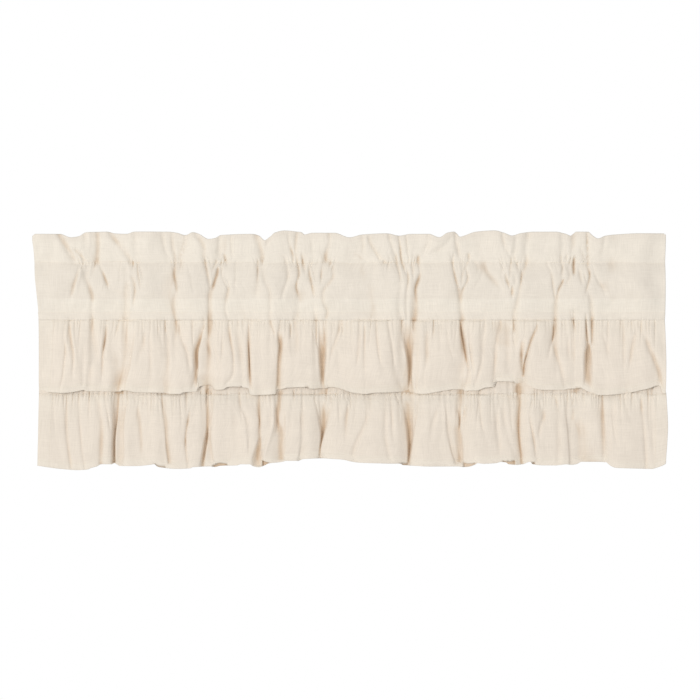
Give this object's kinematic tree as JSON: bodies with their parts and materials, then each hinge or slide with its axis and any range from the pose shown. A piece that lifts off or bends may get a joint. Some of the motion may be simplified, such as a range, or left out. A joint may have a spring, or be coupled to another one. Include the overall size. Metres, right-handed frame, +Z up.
{
  "type": "window valance",
  "caption": "Gathered rod-pocket window valance of cotton muslin: a header frill over the rod pocket, and gathered ruffles below it, one over the other.",
  "frame": {"origin": "the middle of the level that the top edge reaches, in the plane of the rod that the pocket is made for", "axes": "+X along the width to the right as seen from the front, -Y out of the front, +Y towards the window, +Z up"},
  "size_m": [1.0984, 0.0466, 0.4163],
  "materials": {
    "heading_muslin": "matt plain weave, unbleached cotton muslin",
    "under_panel_muslin": "matt plain weave, unbleached cotton muslin",
    "upper_ruffle_muslin": "matt plain weave, unbleached cotton muslin",
    "lower_ruffle_muslin": "matt plain weave, unbleached cotton muslin"
  },
  "bodies": {
    "root": {"heading": "heading_muslin", "under_panel": "under_panel_muslin", "upper_ruffle": "upper_ruffle_muslin", "lower_ruffle": "lower_ruffle_muslin"}
  },
  "joints": []
}
